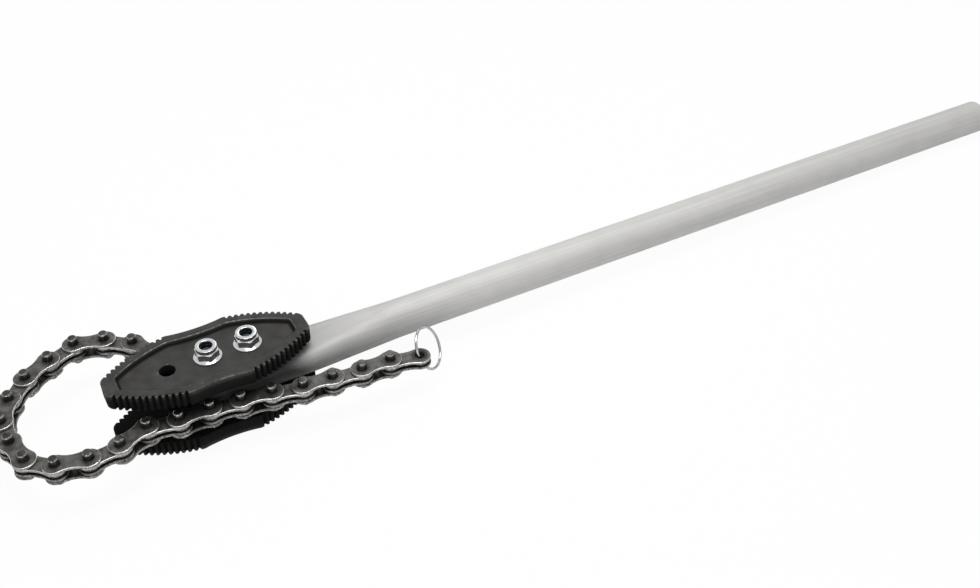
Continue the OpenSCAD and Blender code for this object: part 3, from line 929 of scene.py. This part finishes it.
nut = {
    "flats": 18, "height": 12.5, "flange": 23.5, "flangeEdge": 1.6,
    "collar": 17.4, "collarHeight": 4, "collarWall": 0.9, "collarEdge": 0.7, "lip": 11, "bore": 12.04,
    "flangeRound": 0.35, "flangeSlope": 1.9, "hexRise": 0.3, "hexSlope": 1.5, "soft": 0.45,
    "coneEnd": 4.2, "hexFrom": 4.4,  # heights between which the flange's cone goes under the hexagon
}
bolt = {
    "diameter": 12, "flats": 18, "head": 7.5, "endChamfer": 1.0, "soft": 0.3,
    "faceInset": 1.2, "cone": 0.4, "coneSlope": 1.7,
    "shadedEnd": 6, "endShade": 0.9,  # the length inside the nut, and how dark the painted shade on it is
}
insert = {"bore": 10.6, "clear": 0.04, "soft": 0.3}


def hexRadius(a, flats, soft=0.35):
    # distance from the middle to a hexagon's side in each direction, its corners taken down a little
    off = np.mod(a + math.pi / 6, math.pi / 3) - math.pi / 6
    return np.minimum(flats / 2 / np.cos(off), flats / 2 / math.cos(math.pi / 6) - soft)


def nutSheet(c, place):
    # at each height and angle the radius is the largest of the flange's cone, the hexagon under its
    # chamfer, and the collar; then come the collar's lip and the bore
    a = np.linspace(0, 2 * math.pi, 144, endpoint=False)[:, None]
    hexTop, top = c["height"] - c["collarHeight"], c["height"]
    edge, soft = c["flangeEdge"], c["flangeRound"]
    z = np.concatenate([
        [0, 0.15], np.linspace(0.4, edge, 6), np.linspace(edge + 0.1, c["coneEnd"], 16),
        np.linspace(c["hexFrom"], hexTop + 1.2, 34), [hexTop + 2, top - c["collarEdge"]],
    ])[None, :]
    flange = c["flange"] / 2 - soft * np.clip(np.abs(z - edge / 2) / (edge / 2), 0, 1) ** 6
    flange = np.where(z > edge, c["flange"] / 2 - soft - (z - edge) * c["flangeSlope"], flange)
    chamfer = c["flats"] / 2 + c["hexRise"] + (hexTop + 0.1 - z) * c["hexSlope"]
    hexagon = np.minimum(hexRadius(a, c["flats"]), chamfer)
    collar = np.where(z < hexTop - 1, 0, c["collar"] / 2)
    r = np.maximum(np.maximum(flange, hexagon), collar)
    lip, cr, bore, wall = c["lip"] / 2, c["collar"] / 2, c["bore"] / 2, c["collarWall"]
    rest = rounded([
        (cr, top - c["collarEdge"]), (cr, top), (lip, top), (lip, top - wall), (cr - wall, top - wall),
        (cr - wall, hexTop + wall), (bore, hexTop + wall), (bore, 0),
    ], c["soft"])[1:]
    r = np.concatenate([r, np.broadcast_to(rest[:, 0], (len(a), len(rest)))], 1)
    z = np.concatenate([np.repeat(z, len(a), 0), np.broadcast_to(rest[:, 1], (len(a), len(rest)))], 1)
    return surface(np.stack([r * np.cos(a), r * np.sin(a), z], -1) + np.asarray(place))


def boltSheet(c, place, headTop, end):
    # hexagon head with a cone over its corners, then the plain shank up to its chamfered end
    a = np.linspace(0, 2 * math.pi, 144, endpoint=False)[:, None]
    head, shankR, long, chamfer = c["head"], c["diameter"] / 2, end - headTop, c["endChamfer"]
    z = np.concatenate([[-head], -head + np.linspace(0.02, 1.6, 14), [-1, -0.1, 0]])[None, :]
    cone = c["flats"] / 2 - c["cone"] + (z + head) * c["coneSlope"]
    r = np.minimum(hexRadius(a, c["flats"]), cone)
    face = np.broadcast_to([0, c["flats"] / 2 - c["faceInset"]], (len(a), 2))
    shank = rounded([
        (shankR + 1, 0), (shankR, 0), (shankR, long - chamfer), (shankR - chamfer, long), (0, long),
    ], c["soft"])
    r = np.concatenate([face, r, np.broadcast_to(shank[:, 0], (len(a), len(shank)))], 1)
    shankZ = np.broadcast_to(shank[:, 1], (len(a), len(shank)))
    z = np.concatenate([np.full((len(a), 2), -head), np.repeat(z, len(a), 0), shankZ], 1)
    grid = np.stack([r * np.cos(a), r * np.sin(a), z + headTop], -1) + np.asarray(place)
    # painted shade on the end that stands inside the nut
    return surface(grid, wrapRows=False, soot=np.clip((z - long + c["shadedEnd"]) / 2, 0, c["endShade"]))


panelTop = boxOf("centre_nut")[0][2]
boltLow, boltHigh = boxOf("centre_bolt")
for name, place in zip(("centre", "rear"), boltPlaces):
    seat = (place[0], 0, panelTop)
    sheetOf = {"nut": nutSheet(nut, seat), "bolt": boltSheet(bolt, place, -panelTop, boltHigh[2])}
    for kind, sheet in sheetOf.items():
        node = f"{name}_{kind}"
        makePiece(node + "_bright", [sheet], looks["zinc"], "head_and_handle", [node], sharp=32)
insertLow, insertHigh = boxOf("lock_inserts")
insertIn, insertOut = insert["bore"] / 2, nut["collar"] / 2 - nut["collarWall"] - insert["clear"]
insertTall = insertHigh[2] - insertLow[2]
insertCorners = [(insertIn, 0), (insertIn, insertTall), (insertOut, insertTall), (insertOut, 0)]
insertLine = rounded(insertCorners, insert["soft"])
insertRings = [revolve(insertLine, 64, (p[0], 0, insertLow[2])) for p in boltPlaces]
makePiece("lock_inserts_blue", insertRings, looks["insert"], "head_and_handle", ["lock_inserts"])
print("bolts and nuts: seat at", round(float(panelTop), 2))


# floor, light and white surround

stage = {
    "floor": 12.0, "gap": 0.0004,  # metres
    "white": 0.85, "lift": 0.955, "floorShine": 0.4,
    "surround": 0.32, "shine": 0.75,
}


def rays(look):
    # 1 where the camera looks straight or through glass, and 1 where a shiny surface mirrors
    kinds = ("Camera", "Transmission", "Glossy")
    straight, through, mirrored = (look.node("LightPath", {}, {}, f"Is {kind} Ray") for kind in kinds)
    return straight + through, mirrored


def addFloor(c):
    # a plane under the bolt heads and the end of the tube
    _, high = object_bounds()
    headLow = boltLow[2] * mm
    endX, endLow = high.x, -handle["tube"] / 2 * mm
    slope = (endLow - headLow) / (endX - rearBoltX * mm)
    half = c["floor"] / 2
    corners = [(x, y, headLow + slope * (x - rearBoltX * mm) - c["gap"])
               for x, y in ((-half, -half), (half, -half), (half, half), (-half, half))]
    mesh = bpy.data.meshes.new("floor")
    mesh.from_pydata(corners, [], [(0, 1, 2, 3)])
    floor = bpy.data.objects.new("floor", mesh)
    scene.collection.objects.link(floor)
    floor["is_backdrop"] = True
    look = Look("floor_white")
    seen, shiny = rays(look)
    matt = look.node("BsdfDiffuse", {}, {"Color": (c["white"],) * 3 + (1,)})
    glow = look.node("Emission", {}, {"Color": (1, 1, 1, 1), "Strength": 1.0})
    both = look.node("MixShader", {}, {0: seen * c["lift"] + shiny * c["floorShine"], 1: matt, 2: glow})
    under = look.node("NewGeometry", {}, {}, "Backfacing")
    clear = look.node("BsdfTransparent", {}, {})
    both = look.node("MixShader", {}, {0: under, 1: both, 2: clear})  # nothing is seen of it from below
    mesh.materials.append(look.output(both))


def addSurround(c):
    # white to the camera, bright in the reflections of the metal, and softer as a light
    scene.world = bpy.data.worlds.new("surround")
    look = Look("surround", scene.world)
    seen, shiny = rays(look)
    strength = c["surround"] + seen * (1 - c["surround"]) + shiny * (c["shine"] - c["surround"])
    back = look.node("Background", {}, {"Color": (1, 1, 1, 1), "Strength": strength})
    look.output(back, "World")


lamps = {
    "top": {"place": (0.25, 0.05, 1.65), "aim": (0.2, 0, 0), "size": 1.0, "watts": 21},
    "back": {"place": (0.8, 1.35, 1.3), "aim": (0.1, 0, 0), "size": 0.6, "watts": 2.6},
    "front": {"place": (-0.9, -1.2, 0.9), "aim": (0.1, 0, 0), "size": 0.7, "watts": 4},
}


def addLamp(name, c):
    data = bpy.data.lights.new(name, "AREA")
    data.shape, data.size, data.energy = "DISK", c["size"], c["watts"]
    obj = bpy.data.objects.new(name, data)
    obj.location = c["place"]
    obj.rotation_euler = (Vector(c["aim"]) - Vector(c["place"])).to_track_quat("-Z", "Y").to_euler()
    scene.collection.objects.link(obj)


addFloor(stage)
addSurround(stage)
for name, settings in lamps.items():
    addLamp(name, settings)
scene.view_settings.view_transform = "Standard"
